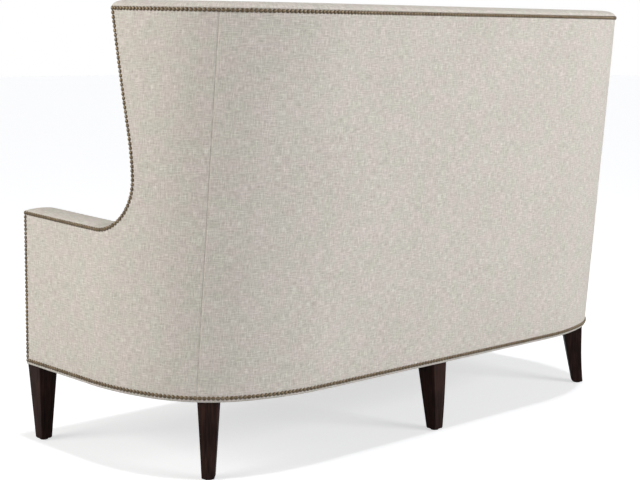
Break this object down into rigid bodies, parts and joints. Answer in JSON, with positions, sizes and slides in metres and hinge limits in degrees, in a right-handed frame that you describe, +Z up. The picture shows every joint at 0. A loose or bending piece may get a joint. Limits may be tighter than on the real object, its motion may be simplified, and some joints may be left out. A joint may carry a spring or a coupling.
{
  "type": "settee",
  "caption": "High back settee with wings, a curved and leaning upholstered shell round a boxed seat cushion, nail head trim and tapered dark legs.",
  "frame": {"origin": "middle of the bounding box's footprint, on the floor", "axes": "+X to the sitter's left along the seat, +Y to the outside of the back, +Z up; the seat faces -Y"},
  "size_m": [1.7838, 0.831, 1.1875],
  "materials": {
    "linen_tweed": "matt woven linen tweed",
    "dark_wood": "dark espresso stain, satin",
    "antique_brass": "aged, satin",
    "frame_timber": "planed, unfinished",
    "lining_board": "board with a thin wadding",
    "padding": "open-cell padding",
    "hessian": "coarse weave",
    "black_cloth": "spunbonded cloth",
    "spring_steel": "oiled wire",
    "zinc_steel": "zinc plated",
    "glide_plastic": "moulded",
    "zip_tape": "woven tape"
  },
  "bodies": {
    "settee": {"front_rail": "frame_timber", "back_rail": "frame_timber", "side_rails": "frame_timber", "corner_rails": "frame_timber", "cross_rails": "frame_timber", "front_posts": "frame_timber", "side_posts": "frame_timber", "corner_posts": "frame_timber", "back_posts": "frame_timber", "arm_rails": "frame_timber", "wing_posts": "frame_timber", "wing_top_rails": "frame_timber", "back_top_rail": "frame_timber", "tack_rails": "frame_timber", "corner_blocks": "frame_timber", "block_screws": "zinc_steel", "leg_blocks": "frame_timber", "seat_springs": "spring_steel", "spring_clips": "spring_steel", "spring_ties": "spring_steel", "spring_cover": "hessian", "deck_pad": "padding", "deck_cover": "linen_tweed", "front_border_pad": "padding", "arm_front_pads": "padding", "arm_front_covers": "linen_tweed", "arm_linings": "lining_board", "wing_linings": "lining_board", "corner_linings": "lining_board", "back_lining": "lining_board", "arm_pads": "padding", "wing_pads": "padding", "corner_pads": "padding", "back_pad": "padding", "inside_arm_covers": "linen_tweed", "inside_wing_covers": "linen_tweed", "inside_back_cover": "linen_tweed", "arm_rolls": "linen_tweed", "wing_rolls": "linen_tweed", "top_roll": "linen_tweed", "outside_panel_left": "linen_tweed", "outside_panel_right": "linen_tweed", "outside_back_panel": "linen_tweed", "dust_cover": "black_cloth", "bottom_nails": "antique_brass", "side_nails": "antique_brass", "top_nails": "antique_brass", "front_leg_left": "dark_wood", "front_leg_middle": "dark_wood", "front_leg_right": "dark_wood", "back_leg_left": "dark_wood", "back_leg_middle": "dark_wood", "back_leg_right": "dark_wood", "hanger_bolts": "zinc_steel", "leg_glides": "glide_plastic"},
    "seat_cushion": {"cushion_cover": "linen_tweed", "cushion_core": "padding", "cushion_welts": "linen_tweed", "cushion_zip": "zip_tape"}
  },
  "joints": [
    {"name": "cushion_lift", "type": "slide", "parent": "settee", "child": "seat_cushion", "axis": [0, 0, 1], "range_m": [0, 0.3]}
  ]
}
